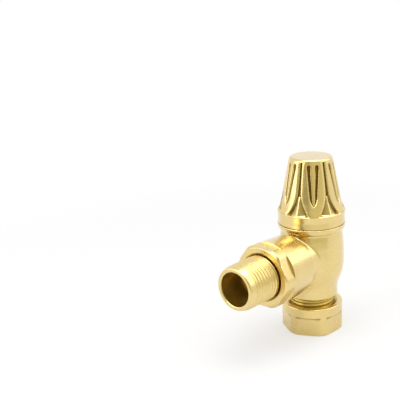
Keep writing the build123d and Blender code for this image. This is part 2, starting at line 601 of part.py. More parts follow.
def lockshield_cap():
    """Fluted cap that hides the headwork: two flutes in each petal, one gap between."""
    press_r = insert_r + PRESS_GAP
    cavity_r = cap_tip_r - CAP_WALL - EDGE
    roof_z = cap_top_z - CAP_ROOF
    cavity = turned(
        (0, cap_z), (press_r, cap_z), (press_r, cap_shoulder_z), (cavity_r, cap_shoulder_z),
        (cavity_r, cap_tip_z), (cap_waist_r - CAP_WALL, cap_waist_z),
        (cap_rim_r - CAP_WALL, roof_z), (0, roof_z))
    shape = cap_envelope() - cavity
    for i in range(PETALS):
        middle = PETAL_TURN + i * 360 / PETALS
        for side in (-1, 1):
            shape -= flute(middle + side * FLUTE_TOP_SPREAD, cap_rim_z - FLUTE_TOP_DROP,
                           middle + side * FLUTE_FOOT_SPREAD, cap_tip_z + FLUTE_FOOT_RISE)
        between = middle + 180 / PETALS
        shape -= flute(between, cap_rim_z - GAP_TOP_DROP, between, cap_tip_z + GAP_FOOT_RISE)
    return shape


def cap_insert():
    """Moulded bush pressed into the cap, which guides it on the body's spigot."""
    return turned(
        (insert_bore_r, insert_z), (insert_r, insert_z), (insert_r, cap_shoulder_z),
        (insert_bore_r, cap_shoulder_z), (insert_bore_r, grip_groove_top_z),
        (grip_groove_r, grip_groove_top_z), (grip_groove_r, grip_groove_z),
        (insert_bore_r, grip_groove_z))


def cap_grip_ring():
    """Rubber ring in the insert's groove that grips the spigot."""
    return soft_ring(spigot_r + RUN_GAP, grip_groove_r - RUN_GAP,
                     grip_groove_z + RUN_GAP, grip_groove_top_z - RUN_GAP)


PIECES = (
    valve_body, compression_nut, olive, union_tail, tail_o_ring, union_nut,
    bonnet, bonnet_washer, spindle_o_ring, gland_packing, gland_follower, gland_nut,
    spindle, valve_disc, disc_washer, disc_screw, swivel_clip,
    lockshield_cap, cap_insert, cap_grip_ring)

os.makedirs("parts", exist_ok=True)
for piece in PIECES:
    export_step(piece(), f"parts/{piece.__name__}.step")
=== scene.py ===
"""Angled lockshield radiator valve: the shown surfaces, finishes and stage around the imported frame.

Lengths in the shape code are millimetres and become metres when a mesh is made. Upright pieces are
turned about the spindle's axis. The union's pieces are turned about the tail's axis: their local
height runs outwards along -Y, and their local Y is up.
"""

import json
import math
import bpy
import numpy as np
from bpy.props import FloatProperty, FloatVectorProperty, PointerProperty
from mathutils import Matrix, Vector


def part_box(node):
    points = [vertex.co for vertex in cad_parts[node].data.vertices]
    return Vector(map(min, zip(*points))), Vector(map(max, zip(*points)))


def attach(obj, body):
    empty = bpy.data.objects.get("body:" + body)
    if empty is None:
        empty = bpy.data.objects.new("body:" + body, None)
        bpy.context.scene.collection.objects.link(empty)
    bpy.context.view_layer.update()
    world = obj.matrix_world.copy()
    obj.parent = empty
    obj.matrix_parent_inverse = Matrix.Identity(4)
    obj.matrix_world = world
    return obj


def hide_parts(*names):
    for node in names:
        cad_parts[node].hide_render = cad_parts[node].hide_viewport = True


bl_info = {
    "name": "Lockshield radiator valve",
    "version": (1, 0, 0),
    "blender": (4, 5, 0),
    "location": "View3D > Sidebar > Valve",
    "description": "Builds an angled brass lockshield valve with its cap, nuts, tail and headwork",
    "category": "Add Mesh",
}

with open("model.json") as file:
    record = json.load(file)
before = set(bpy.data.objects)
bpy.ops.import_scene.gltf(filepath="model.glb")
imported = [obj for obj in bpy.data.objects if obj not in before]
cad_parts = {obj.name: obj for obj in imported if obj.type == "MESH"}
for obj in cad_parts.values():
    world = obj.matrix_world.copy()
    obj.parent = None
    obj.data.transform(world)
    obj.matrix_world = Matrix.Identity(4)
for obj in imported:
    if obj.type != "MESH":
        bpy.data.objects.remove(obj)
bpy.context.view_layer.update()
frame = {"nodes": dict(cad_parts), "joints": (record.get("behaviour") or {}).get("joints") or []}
UNION_PLACE = next(j["pos_m"] for j in frame["joints"] if j["name"] == "union_nut_turn")
TURN = 2 * math.pi
FLATS, THREAD = 1.0, -1.0  # what is cut into a row
ARC_TURN, ARC_STEP = 0.35, 0.6  # longest step round a corner, in radians and along its arc
SHARP = 35.0  # degrees, past which an edge is shaded sharp
BSP_PITCH = 25.4 / 14  # G1/2 and G3/4 threads
G12_R, G34_R = 10.4775, 13.2205  # radii over their crests
THREAD_GAP = 0.07  # radial, male thread in female thread
THREAD_SHARE = 0.6  # depth of the headwork's threads over their pitch
INLET_SHARE = 0.6  # of the shown thread depth, on the inlet and in its nut
SHOWN = 0.6  # of their depth, on the headwork's threads
COMPRESSION_NUT_TURN = 27.8  # degrees to a corner of its hexagon
UNION_NUT_TURN = -3.8  # the same, about the tail's axis
PETAL_TURN = 11.0  # degrees from +X to the first petal of the cap
IN_BORE = 0.8  # painted shade inside a bore
CAMERA_AZIMUTH, CAMERA_ELEVATION, CAMERA_ROLL = 44.71, 15.98, -2.88
CAMERA_DISTANCE = 0.369  # from the point aimed at, along the view
SENSOR = 36.0  # width in millimetres
SOFTBOX_DISTANCE = 0.5  # from the point aimed at
SOFTBOXES = {  # degrees from the camera, elevation, size, share of the power
    "softbox_left": (-60, 35, 0.3, 0.8), "softbox_low": (-82, 14, 0.24, 0.27),
    "softbox_right": (80, 46, 0.55, 1.1), "softbox_top": (0, 85, 0.32, 1.1)}
GREY_CARDS = ((range(-60, -14, 5), 0.7), (range(-15, 51, 5), 1.27))  # degrees of folds, strength


def span(node, axis):
    """Lowest and highest place of a CAD node along an axis (0, 1 or 2), in millimetres."""
    low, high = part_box(node)
    return 1000 * low[axis], 1000 * high[axis]


# Where the camera aims, and where that shows as shares of the frame's width from its middle.
AIM = Vector(UNION_PLACE) * Vector((1, 0, 1))
AIM_IN_VIEW = (0.27875, -0.134)

# Places read from the frame, in millimetres.
TAIL_AXIS_Z = 1000 * UNION_PLACE[2]
NUT_FOOT, NUT_TOP = span("compression_nut", 2)
NUT_R = span("union_nut", 0)[1]
INLET_END, SPIGOT_TOP = span("valve_body", 2)
UNION_END = -span("valve_body", 1)[0]
UNION_FRONT, UNION_REAR = (-y for y in span("union_nut", 1))
TAIL_END, NOSE_START = (-y for y in span("union_tail", 1))
CAP_FOOT, CAP_TOP = span("lockshield_cap", 2)
TIP_R = span("lockshield_cap", 0)[1]
BONNET_FOOT, BONNET_TOP = span("bonnet", 2)
GLAND_FOOT, GLAND_TOP = span("gland_nut", 2)
STEM_FOOT, STEM_TOP = span("spindle", 2)


# --- rows and grids ---
def rounded(corners):
    """Rows of a turned outline from its corners (radius, height, rounding, weight).

    A corner becomes an arc of its rounding, or of 0.1 if it has none, tangent to both its sides,
    with a row just before and after it that keeps the sides straight. The weight of a corner, 0
    if it has none, holds to the next one: FLATS where the outline is milled, THREAD where it is
    threaded. An outline that starts on the axis also ends there; any other closes on itself.
    """
    c = np.array([(tuple(k) + (0.1, 0.0)[len(k) - 2:])[:4] for k in corners], float)
    point = c[:, :2]
    back = np.roll(point, 1, 0) - point
    ahead = np.roll(point, -1, 0) - point
    runs = []
    for i, (r, z, rounding, weight) in enumerate(c):
        before = c[i - 1, 3]
        if c[0, 0] == 0 and i in (0, len(c) - 1):
            runs.append([[r, z, before if i else weight]])
            continue
        a = back[i] / np.hypot(*back[i])
        b = ahead[i] / np.hypot(*ahead[i])
        half = math.acos(np.clip(a @ b, -1, 1)) / 2
        sweep = math.pi - 2 * half
        shorter = min(np.hypot(*back[i]), np.hypot(*ahead[i]))
        rounding = min(rounding, 0.45 * math.tan(half) * shorter)
        if sweep < 0.02:
            low, high = point[i] + 0.05 * a, point[i] + 0.05 * b
            runs.append([[*low, before], [*high, weight]])
            continue
        cut = rounding / math.tan(half)
        middle = point[i] + (a + b) / np.hypot(*(a + b)) * rounding / math.sin(half)
        start, end = point[i] + a * cut - middle, point[i] + b * cut - middle
        steps = max(3, math.ceil(sweep / ARC_TURN), math.ceil(sweep * rounding / ARC_STEP))
        t = np.linspace(0, 1, steps + 1)[:, None]
        arc = middle + (np.sin((1 - t) * sweep) * start + np.sin(t * sweep) * end) / math.sin(sweep)
        guard = 0.4 * rounding if rounding < 1 else 0.0
        run = np.vstack([arc[:1] + a * guard, arc, arc[-1:] + b * guard] if guard else [arc])
        blend = np.linspace(before, weight, len(run))[:, None]
        runs.append(np.hstack([run, blend]))
    return np.vstack(runs)


def refined(rows, step, low, high, inner=0.0):
    """The same rows with every run between two heights, outside a radius, cut into steps."""
    ahead = np.roll(rows, -1, 0)
    length = np.hypot(*(ahead - rows)[:, :2].T)
    middle = (ahead + rows) / 2
    wanted = (middle[:, 1] > low) & (middle[:, 1] < high) & (middle[:, 0] > inner)
    count = np.where(wanted, np.maximum(1, np.ceil(length / step)), 1).astype(int)
    first = np.repeat(np.cumsum(count) - count, count)
    share = ((np.arange(count.sum()) - first) / np.repeat(count, count))[:, None]
    return np.repeat(rows, count, 0) * (1 - share) + np.repeat(ahead, count, 0) * share


def ramped(rows, full, none, inner):
    """The rows outside a radius with their weight carried from 1 at one height to 0 at another."""
    share = np.clip((rows[:, 1] - none) / (full - none), 0, 1)
    sloped = (rows[:, 0] > inner) & (share < 1) & (rows[:, 2] >= 0)
    return np.column_stack([rows[:, :2], np.where(sloped, share, rows[:, 2])])


# Where a turned piece's own axis lies.
UPRIGHT = Matrix.Identity(4)
ALONG_TAIL = Matrix.Translation((0, 0, TAIL_AXIS_Z)) @ Matrix.Rotation(math.pi / 2, 4, "X")


def placed(name, data):
    """A new object in the scene."""
    item = bpy.data.objects.new(name, data)
    bpy.context.scene.collection.objects.link(item)
    return item


def lathe(name, rows, columns, shape=None, place=UPRIGHT, crisp=SHARP):
    """A turned grid: each row is carried round the axis, and shape moves it there.

    shape(theta, radius, height, weight) gives the radius, height and painted shade at every grid
    point.
    A closed outline makes a ring. One that starts and ends on the axis closes in poles. The place
    is in the mesh, and the object stays at the origin. Edges past crisp degrees are shaded sharp.
    """
    closed = rows[0, 0] > 0
    theta = np.arange(columns) * TURN / columns
    r, z, w = (np.repeat(rows[:, k:k + 1], columns, 1) for k in range(3))
    painted_shade = np.zeros_like(r)
    if shape:
        r, z, painted_shade = shape(np.repeat(theta[None], len(rows), 0), r, z, w)
    points = np.stack([r * np.cos(theta), r * np.sin(theta), z], -1)
    grid = np.arange(points.size // 3).reshape(len(rows), columns)
    if not closed:
        grid[0], grid[-1] = grid[0, 0], grid[-1, 0]
    upper = np.roll(grid, -1, 0) if closed else grid[1:]
    lower = grid if closed else grid[:-1]
    faces = np.stack([lower, np.roll(lower, -1, 1), np.roll(upper, -1, 1), upper], -1)
    faces = faces.reshape(-1, 4)
    if not closed:  # triangles at the poles, which have no fourth corner
        faces[:columns, 1] = -1
        faces[-columns:, 3] = -1
    used, packed = np.unique(faces, return_inverse=True)
    faces = packed.reshape(faces.shape) - (used[0] < 0)
    used = used[used >= 0]
    turn = np.array(place)
    points = points.reshape(-1, 3)[used] @ turn[:3, :3].T + turn[:3, 3]
    mesh = bpy.data.meshes.new(name)
    mesh.vertices.add(len(points))
    mesh.vertices.foreach_set("co", (points / 1000).astype(np.float32).ravel())
    corners = faces >= 0
    totals = corners.sum(1)
    mesh.loops.add(int(totals.sum()))
    mesh.loops.foreach_set("vertex_index", faces[corners].astype(np.int32))
    mesh.polygons.add(len(faces))
    mesh.polygons.foreach_set("loop_start", (np.cumsum(totals) - totals).astype(np.int32))
    mesh.update(calc_edges=True)
    mesh.validate()
    mesh.shade_smooth()
    mesh.set_sharp_from_angle(angle=math.radians(crisp))
    piece = placed(name, mesh)
    set_painted_shade(piece, painted_shade.reshape(-1)[used])
    return piece


# --- shapes shared by the pieces ---
def smooth_min(a, b, width):
    """The lower of two lengths, with the corner between them rounded over a width."""
    share = np.clip(0.5 + 0.5 * (b - a) / width, 0, 1)
    return b + (a - b) * share - width * share * (1 - share)


def flats(theta, half, corner=0.0, sides=6):
    """Radius of a prism: half its width over the cosine of the angle from a flat's middle."""
    sector = TURN / sides
    from_flat = np.mod(theta - math.radians(corner), sector) - sector / 2
    return half / np.cos(from_flat)


def wave(theta, height, pitch):
    """Depth share of a right-handed thread: 0 on its rounded crest and 1 in its root.

    The phase is the height over the pitch less the share of a turn. The depth is a smoothed
    triangle wave of it.
    """
    phase = height / pitch - theta / TURN
    away = 2 * np.abs(phase - np.round(phase))
    share = np.clip((away - 0.12) / 0.76, 0, 1)
    return share * share * (3 - 2 * share)


def hexagon_cut(half, corner, edge, depth, rise, shelf_z, shade):
    """Shape of a nut: milled rows take the lower of the blank and a hexagon.

    Where the milling ends the weight falls, and the hexagon grows by rise, most of it at once. That
    leaves a shelf with a soft edge. Painted shadow marks the shelf and fades over shade in front of
    it.
    """
    def cut(theta, r, z, weight):
        share = np.clip(weight, 0, 1)
        milled = smooth_min(r, flats(theta, half + rise * (1 - share ** 8), corner), edge)
        thread = depth * np.clip(-weight, 0, 1) * wave(theta, z, BSP_PITCH)
        # painted shadow line along the shelf under the collar's overhang
        shelf = np.clip((r - milled) / 0.3, 0, 1) * np.clip(1 - np.abs(z - shelf_z) / shade, 0, 1)
        return np.where(share > 0, milled, r) - thread, z, shelf * (share > 0)
    return cut


def threaded(depth):
    """Shape of a plain turned piece whose threaded rows carry a thread."""
    def cut(theta, r, z, weight):
        return r - depth * np.clip(-weight, 0, 1) * wave(theta, z, BSP_PITCH), z, 0 * r
    return cut


def places(piece):
    """Points of a piece's mesh, in millimetres."""
    co = np.empty(3 * len(piece.data.vertices), np.float32)
    piece.data.vertices.foreach_get("co", co)
    return 1000.0 * co.reshape(-1, 3)


def painted_shade_of(piece):
    """The painted shade value kept on each point."""
    kept = np.empty(len(piece.data.vertices), np.float32)
    piece.data.attributes["painted_shade"].data.foreach_get("value", kept)
    return kept


# painted shade: 0 on open metal, 1 where the brass is painted fully dark
def set_painted_shade(piece, shades):
    """Keeps a value of painted shade for each point as a point attribute: 1 deep in a bore or groove.
    """
    kept = piece.data.attributes
    painted_shade = kept.get("painted_shade") or kept.new("painted_shade", "FLOAT", "POINT")
    painted_shade.data.foreach_set("value", np.asarray(shades, np.float32).ravel())


def join(piece, other, operation):
    """Adds another closed mesh to a piece or takes it away, and removes the other."""
    change = piece.modifiers.new(operation.lower(), "BOOLEAN")
    change.operation, change.object, change.solver = operation, other, "EXACT"
    view = bpy.context.evaluated_depsgraph_get()
    mesh = bpy.data.meshes.new_from_object(piece.evaluated_get(view))
    if len(mesh.vertices) < len(piece.data.vertices) // 2:
        raise RuntimeError(f"{piece.name}: nothing left after {operation} with {other.name}")
    piece.modifiers.clear()
    piece.data = mesh
    mesh.name = piece.name
    mesh.shade_smooth()
    mesh.set_sharp_from_angle(angle=math.radians(SHARP))
    bpy.data.objects.remove(other)


# --- materials ---
def set_inputs(node, values):
    """Sets a node's inputs from a dictionary of socket names and values."""
    for key, value in values.items():
        node.inputs[key].default_value = value
    return node


class Finish:
    """A node material in the making: a Principled surface and the nodes that vary it."""

    def __init__(self, name, **surface):
        self.material = bpy.data.materials.new(name)
        self.material.use_nodes = True
        self.nodes = self.material.node_tree.nodes
        self.links = self.material.node_tree.links
        self.surface = self.nodes["Principled BSDF"]
        set_inputs(self.surface, surface)
        self.place = self.nodes.new("ShaderNodeTexCoord").outputs["Object"]

    def link(self, source, node, key):
        self.links.new(source, node.inputs[key])

    def add(self, kind, values=None, **options):
        """A new node of a kind, with its options and input values."""
        node = self.nodes.new("ShaderNode" + kind)
        for key, value in options.items():
            setattr(node, key, value)
        return set_inputs(node, values or {})

    def noise(self, scale, detail=2.0, roughness=0.5, place=None):
        """Noise between 0 and 1; scale is patches per metre."""
        node = self.add("TexNoise", {"Scale": scale, "Detail": detail, "Roughness": roughness})
        self.link(place or self.place, node, "Vector")
        return node.outputs["Fac"]

    def ranged(self, source, low, high, to_low=0.0, to_high=1.0):
        """A value carried from one range to another, held at the ends."""
        node = self.add("MapRange", {1: low, 2: high, 3: to_low, 4: to_high})
        self.link(source, node, 0)
        return node.outputs[0]

    def maths(self, operation, a, b):
        """Two values or sources through a maths node."""
        node = self.add("Math", operation=operation)
        for i, value in enumerate((a, b)):
            if isinstance(value, (int, float)):
                node.inputs[i].default_value = value
            else:
                self.link(value, node, i)
        return node.outputs[0]

    def tinted(self, share, first, second):
        """One colour carried to another by a share; each is a colour or a source."""
        node = self.add("Mix", data_type="RGBA")
        self.link(share, node, 0)
        for i, colour in ((6, first), (7, second)):
            if isinstance(colour, bpy.types.NodeSocket):
                self.link(colour, node, i)
            else:
                node.inputs[i].default_value = (*colour[:3], 1)
        return node.outputs[2]

    def bump(self, height, distance):
        """Raises the surface by a height source; distance is in metres."""
        node = self.add("Bump", {"Strength": 1.0, "Distance": distance})
        self.link(height, node, "Height")
        self.link(node.outputs["Normal"], self.surface, "Normal")

    def glow(self, colour, strength=1.0):
        """An even light of a colour, whatever falls on the surface."""
        return self.add("Emission", {"Color": (*colour, 1), "Strength": strength}).outputs[0]

    def show(self, source):
        """Makes a shader the one that shows, in the place of the Principled surface."""
        self.link(source, self.nodes["Material Output"], "Surface")


def brass(name, finish, deep, marks, inner=False):
    """Solid brass: a slow change of tone, painted shade in grooves and bores, fine marks left by
    tools.

    marks is the object scale of the fine marks; a small number draws them out along that axis.
    """
    colour = finish.inner_colour if inner else finish.brass_colour
    roughness = 0.3 if inner else finish.brass_roughness
    cloud, fleck, spread = 0.05, 0.03, 0.15
    f = Finish(name, Metallic=1.0, **{"Coat Roughness": 0.2, "Coat IOR": 1.5})
    tone = f.ranged(f.noise(90, 3), 0.3, 0.7, 1 - cloud, 1 + cloud)
    drawn = f.add("Mapping", {"Scale": marks})
    f.link(f.place, drawn, "Vector")
    grain = f.noise(1.0, 3, 0.6, drawn.outputs["Vector"])
    shade = f.maths("MULTIPLY", tone, f.ranged(grain, 0.25, 0.75, 1 - fleck, 1 + fleck))
    plain = f.tinted(f.ranged(shade, 1 - spread, 1 + spread),
                     [c * (1 - spread) for c in colour], [c * (1 + spread) for c in colour])
    # painted shade: the point value carries the colour to the shade colour, takes off the coat and
    # adds roughness
    painted_shade = f.add("Attribute", attribute_name="painted_shade").outputs["Fac"]
    depth = f.ranged(painted_shade, 0.0, 1.0)
    f.link(f.tinted(depth, plain, deep), f.surface, "Base Color")
    f.link(f.ranged(depth, 0.0, 0.6, 0.8, 0.0), f.surface, "Coat Weight")
    gloss = f.ranged(f.noise(260, 2), 0.3, 0.7, roughness * 0.85, roughness * 1.2)
    f.link(f.maths("ADD", gloss, f.maths("MULTIPLY", depth, 0.25)), f.surface, "Roughness")
    f.bump(grain, 0.000006)
    return f.material


def plain_finish(name, colour, second, roughness, scale, relief, metallic=0.0):
    """A washer, seal or moulding: a grain of two near colours, with a fine relief."""
    f = Finish(name, Metallic=metallic)
    grain = f.noise(scale, 4, 0.6)
    f.link(f.tinted(f.ranged(grain, 0.3, 0.7), colour, second), f.surface, "Base Color")
    f.link(f.ranged(grain, 0.3, 0.7, roughness, min(1, roughness + 0.12)), f.surface, "Roughness")
    f.bump(grain, relief)
    return f.material


def finished(piece, material, slot, body, *nodes):
    """Dresses a piece, hides the CAD nodes it stands for, and puts it on its body."""
    piece.data.materials.clear()
    piece.data.materials.append(material)
    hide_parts(*nodes)
    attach(piece, body)


# --- settings ---
def metres(name, description, default, low, high):
    """A setting in metres."""
    return FloatProperty(name=name, description=description, default=default, min=low, max=high,
                         unit="LENGTH", precision=5)


def tint(name, description, default):
    """A setting that is a linear colour."""
    return FloatVectorProperty(name=name, description=description, default=default, min=0, max=1,
                               subtype="COLOR")


class ValveShape(bpy.types.PropertyGroup):
    """Sizes of the shown surfaces that can be changed."""
    thread_depth: metres("Thread depth", "Depth of the shown pipe threads", 0.00042, 0.0002, 0.0011)
    edge: metres("Soft edge", "Rounding of the nuts' milled edges", 0.0004, 0.0001, 0.001)
    casting_fillet: metres(
        "Casting fillet", "Blend between the barrel and the side boss", 0.0009, 0.0005, 0.0034)
    flute_depth: metres(
        "Flute depth", "Depth of the two grooves in each petal of the cap", 0.0012, 0.0003, 0.0018)
    gap_depth: metres(
        "Gap depth", "Depth of the channels between the petals", 0.0011, 0.0003, 0.0018)


class ValveFinish(bpy.types.PropertyGroup):
    """Colours and gloss of the valve."""
    brass_colour: tint("Brass", "Colour of the polished brass", (0.78, 0.60, 0.24))
    # painted shade colour in the cap's flutes and channels and along the lower nut's shelf
    groove_shade_colour: tint(
        "Groove shade", "Colour of the brass deep in the cap's flutes and the lower nut's recesses",
        (0.22, 0.14, 0.02))
    # painted shade colour inside bores and in thread roots
    bore_shade_colour: tint(
        "Bore", "Colour of the brass inside bores and thread roots", (0.70, 0.53, 0.14))
    inner_colour: tint(
        "Machined brass", "Colour of the parts under the cap", (0.78, 0.58, 0.22))
    brass_roughness: FloatProperty(
        name="Brass roughness", description="Roughness of the satin brass",
        default=0.24, min=0.02, max=1, subtype="FACTOR")
    rubber_colour: tint("Rubber", "Colour of the seals", (0.022, 0.022, 0.024))
    nylon_colour: tint("Nylon", "Colour of the cap's moulded bush", (0.045, 0.045, 0.048))


class ValveStage(bpy.types.PropertyGroup):
    """Floor, light and camera."""
    floor_colour: tint("Floor", "Colour of the floor", (0.84, 0.84, 0.84))
    card_colour: tint(
        "Grey card", "Colour of the card that the metal reflects in front", (0.60, 0.58, 0.42))
    lamp_power: FloatProperty(
        name="Lamp power", description="Power of a softbox whose share is 1",
        default=0.9, min=0, unit="POWER")
    sky_light: FloatProperty(
        name="Sky light", description="Strength of the white surroundings on matt surfaces",
        default=0.6, min=0, max=2)
    lens: FloatProperty(
        name="Lens", description="Focal length in millimetres on a 36 mm sensor",
        default=68.2, min=10)


def settings(context):
    """The scene's shape and finish settings."""
    return context.scene.valve_shape, context.scene.valve_finish


# --- the pieces ---
class VALVE_OT_body(bpy.types.Operator):
    """Brass body: inlet thread, swept barrel, bead, spigot, side boss and union thread"""
    bl_idname = "valve.body"
    bl_label = "Body"

    def execute(self, context):
        shape, finish = settings(context)
        depth, fillet = 1000 * shape.thread_depth, 1000 * shape.casting_fillet
        neck_r, barrel_r, boss_r, boss_end = 12.4975, 15.5, 12.0, 17.6
        water_r, socket_r, seat_r, chamber_r, bonnet_r, spigot_r = 6.0, 7.6, 7.2, 10.5, 11.0, 12.5
        inlet_root, union_root, outlet_r, nose_r = G12_R - 0.9, 12.32, 7.0, 9.0
        casting_z, seat_z, floor_z = 17.9, TAIL_AXIS_Z - 6.4, TAIL_AXIS_Z - 7.4
        waist_z, bead_z, thread_z = 50.9, 54.2, 49.5
        flare, belly, shoulder = 12, 34, 40.0
        turn = math.acos(1 - (barrel_r - neck_r) / (flare + belly))
        flare_z = TAIL_AXIS_Z - (flare + belly) * math.sin(turn) + flare * math.tan(turn / 2)
        corners = [
            (water_r, INLET_END + 15), (socket_r, INLET_END + 15), (socket_r, INLET_END + 2.4, 0.2),
            (9.1, INLET_END), (inlet_root, INLET_END, 0.15),
            (G12_R, INLET_END + 0.9, 0.15, THREAD), (G12_R, casting_z - 1.2, 0.15),
            (inlet_root, casting_z - 1.2, 0.15), (inlet_root, casting_z),
            (neck_r, casting_z, 0.4), (neck_r, flare_z, flare),
            (barrel_r, TAIL_AXIS_Z - belly * math.tan(turn / 2), belly), (barrel_r, 40.5, shoulder),
            (barrel_r - 0.2, 44.5, shoulder), (barrel_r - 0.52, 48.0, 30.0),
            (barrel_r - 0.85, waist_z - 0.7, 0.3), (barrel_r - 0.85, waist_z, 0.12),
            (barrel_r + 0.33, waist_z + 1.1, 1.5), (barrel_r + 0.75, bead_z, 0.35),
            (spigot_r, bead_z), (spigot_r, SPIGOT_TOP, 0.3), (bonnet_r, SPIGOT_TOP, 0.2),
            (bonnet_r, thread_z), (chamber_r, thread_z), (chamber_r, floor_z, 0.3),
            (seat_r, floor_z), (seat_r, seat_z), (water_r, seat_z)]
        rows = refined(rounded(corners), BSP_PITCH / 13, INLET_END, casting_z - 1, 10)
        rows = refined(rows, 0.4, casting_z + 0.5, 50.5, 12.2)

        def barrel(theta, r, z, weight):
            """Thread on the inlet. Above it, the radius at which the smooth union of barrel and
            side boss ends, found by halving the step outwards."""
            inlet = r - INLET_SHARE * depth * np.clip(-weight, 0, 1) * wave(theta, z, BSP_PITCH)
            beyond, slant = 23.0, 0.97  # past the boss, and distance over radius at the barrel
            reach, step = r.copy(), 0.5 * (beyond - np.minimum(r, beyond))
            for _ in range(16):
                out = reach + step
                x, y = out * np.cos(theta), out * np.sin(theta)
                boss = np.maximum(np.hypot(x, z - TAIL_AXIS_Z) - boss_r, -y - boss_end - 1.9)
                boss = np.where(y < 0, boss, 99.0)
                joined = smooth_min(slant * (out - r), boss, fillet)
                reach, step = np.where(joined < 0, out, reach), step / 2
            cast = (r > 12.2) & (z > casting_z + 0.3) & (z < bead_z - 1.2)
            return np.where(cast, reach, inlet), z, 0 * r

        piece = lathe("valve_body_visual", rows, 240, barrel)
        union = [(0.0, 13.0), (boss_r - 0.5, 13.0), (boss_r - 0.5, boss_end - 0.1),
                 (union_root, boss_end - 0.1), (union_root, boss_end + 1.2, 0.15),
                 (G34_R, boss_end + 1.2, 0.15, THREAD), (G34_R, UNION_END - 0.9, 0.15),
                 (union_root, UNION_END, 0.15), (0.0, UNION_END)]
        rows = refined(rounded(union), BSP_PITCH / 10, boss_end + 1.3, UNION_END - 0.8, 13)
        spigot = lathe("union", rows, 192, threaded(depth), ALONG_TAIL)
        bore = [(0.0, 7.4), (outlet_r, 7.4), (outlet_r, UNION_END - 4.5),
                (nose_r, UNION_END - 4.5), (nose_r, UNION_END + 1), (0.0, UNION_END + 1)]
        outlet = lathe("outlet", rounded(bore), 96, None, ALONG_TAIL)
        join(piece, spigot, "UNION")
        join(piece, outlet, "DIFFERENCE")
        # painted shade in the bores, at the inlet thread's run-out and in its roots
        x, y, z = places(piece).T
        from_spindle, from_tail = np.hypot(x, y), np.hypot(x, z - TAIL_AXIS_Z)
        bores = (from_tail < nose_r + 0.1) & (y < -6) & (y > -UNION_END + 0.5)
        bores |= (from_spindle < socket_r + 0.1) & (z < casting_z + 2)
        chamber = (from_spindle < bonnet_r + 0.05) & (y > -11.2)
        bores |= chamber & (z > casting_z + 1) & (z < SPIGOT_TOP - 0.5)
        run_out = (from_spindle < G12_R - 0.3) & (z > casting_z - 1.3) & (z < casting_z + 0.2)
        thread = (from_spindle > 9) & (from_spindle < 10.6) & (z < casting_z - 1.2)
        set_painted_shade(piece, IN_BORE * bores + 0.5 * run_out + 0.9 * thread)
        metal = brass("cast_brass", finish, finish.bore_shade_colour, (900, 900, 900))
        finished(piece, metal, "cast_brass", "body", "valve_body")
        return {"FINISHED"}


class VALVE_OT_compression_nut(bpy.types.Operator):
    """Nut under the body: round collar above a milled hexagon"""
    bl_idname = "valve.compression_nut"
    bl_label = "Compression nut"

    def execute(self, context):
        shape, finish = settings(context)
        thread_r, blank_r, pipe_r, olive_r = G12_R + THREAD_GAP, 14.7475, 7.7, 9.2
        thread_end, hex_top, shelf = 4.9, 9.5, 0.3
        corners = [
            (pipe_r, NUT_FOOT, 0.3, FLATS), (blank_r - 0.6, NUT_FOOT, 0.25, FLATS),
            (blank_r, NUT_FOOT + 0.5, 0.3, FLATS), (blank_r, hex_top, 0.0, FLATS),
            (blank_r, hex_top + shelf, 0.0), (blank_r, NUT_TOP, 0.45),
            (thread_r + 1.95, NUT_TOP, 0.25), (thread_r, NUT_TOP - 2.5, 0.15, THREAD),
            (thread_r, thread_end), (olive_r, thread_end), (olive_r, thread_end - 0.3),
            (pipe_r, 3.0)]
        rows = refined(rounded(corners), BSP_PITCH / 12, 5, NUT_TOP - 2.6)
        rows = refined(rows, 0.02, hex_top, hex_top + shelf, 11)
        rows = ramped(refined(rows, 0.12, 7, hex_top, 11), hex_top, hex_top + shelf, 11)
        cut = hexagon_cut(blank_r - 1.3, COMPRESSION_NUT_TURN, 1000 * shape.edge,
                          INLET_SHARE * 1000 * shape.thread_depth, 1.8, hex_top, 1.4)
        piece = lathe("compression_nut_visual", rows, 480, cut)
        # painted shade inside the nut's thread, over the painted shadow line at the shelf
        x, y, z = places(piece).T
        inside = (np.hypot(x, y) < thread_r + 0.3) & (z > 0.4)
        set_painted_shade(piece, np.maximum(0.4 * inside, painted_shade_of(piece)))
        metal = brass("nut_brass", finish, finish.groove_shade_colour, (300, 300, 2500))
        finished(piece, metal, "nut_brass", "inlet_nut", "compression_nut")
        return {"FINISHED"}


